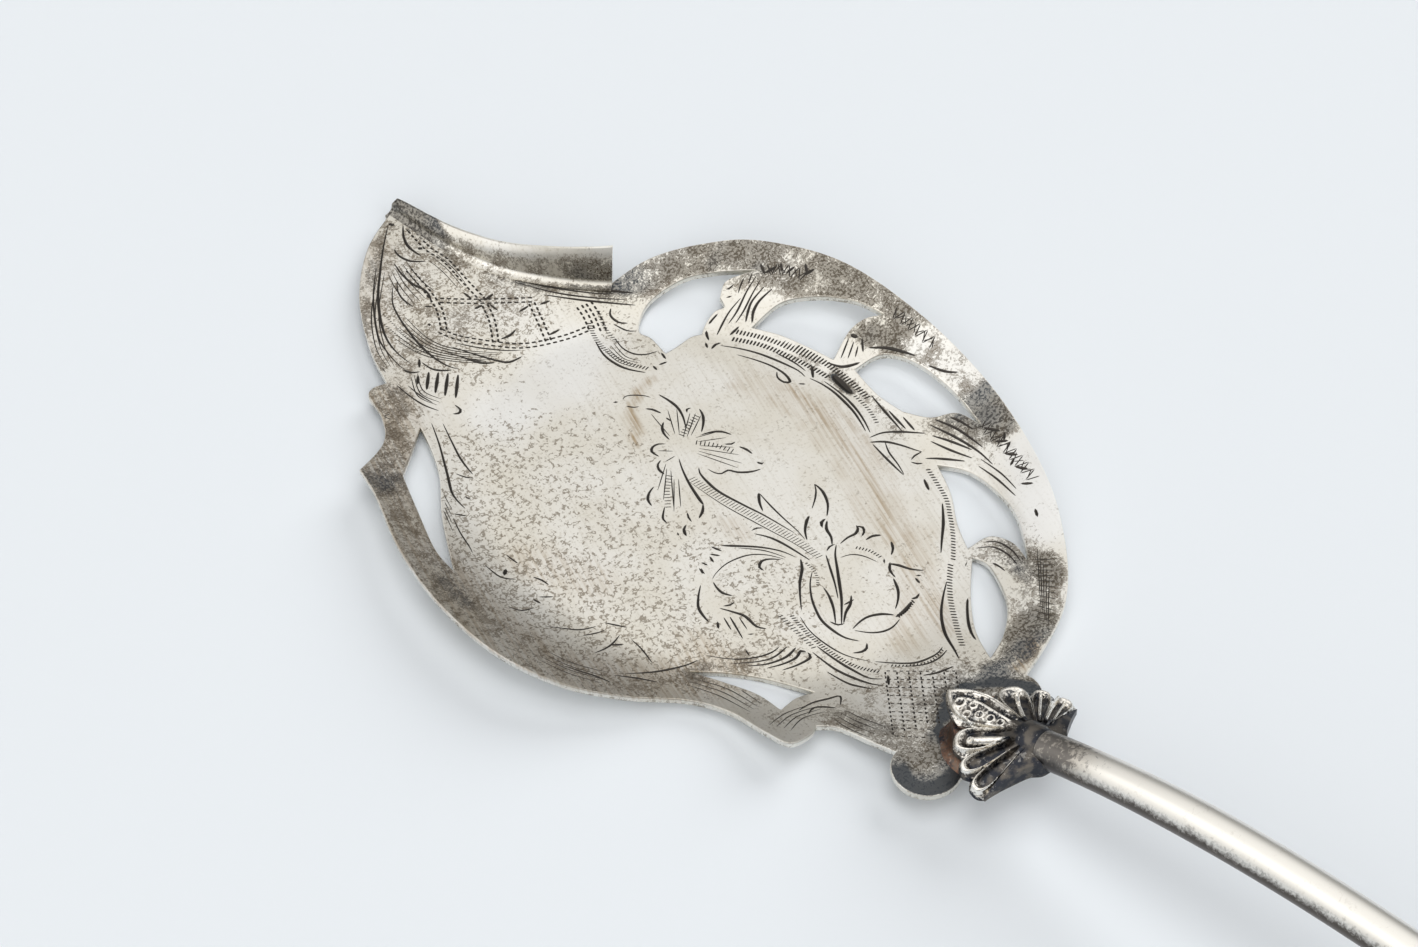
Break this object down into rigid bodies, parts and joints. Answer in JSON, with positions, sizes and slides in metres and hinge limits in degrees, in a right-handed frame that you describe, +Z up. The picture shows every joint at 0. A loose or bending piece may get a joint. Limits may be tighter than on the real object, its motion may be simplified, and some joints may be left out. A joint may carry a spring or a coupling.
{
  "type": "pierced dessert server",
  "caption": "Leaf-shaped silver dessert server: a pierced and dished sheet blade with a turned-up lip, a fluted shell mount and a round bow handle.",
  "frame": {"origin": "underside of the blade's flat floor, on the line of the handle, near the middle of the floor's length", "axes": "+Y along the handle towards the blade's tip, +Z up out of the dish, +X to the pierced arch side"},
  "size_m": [0.0811, 0.2627, 0.019],
  "materials": {
    "blade_silver": "worn bright-cut silver sheet with grey speckled tarnish",
    "cast_silver": "cast silver, bright rims over dark tarnished hollows",
    "handle_silver": "polished silver, softly worn"
  },
  "bodies": {
    "root": {"blade": "blade_silver", "shell_mount": "cast_silver", "handle": "handle_silver"}
  },
  "joints": []
}
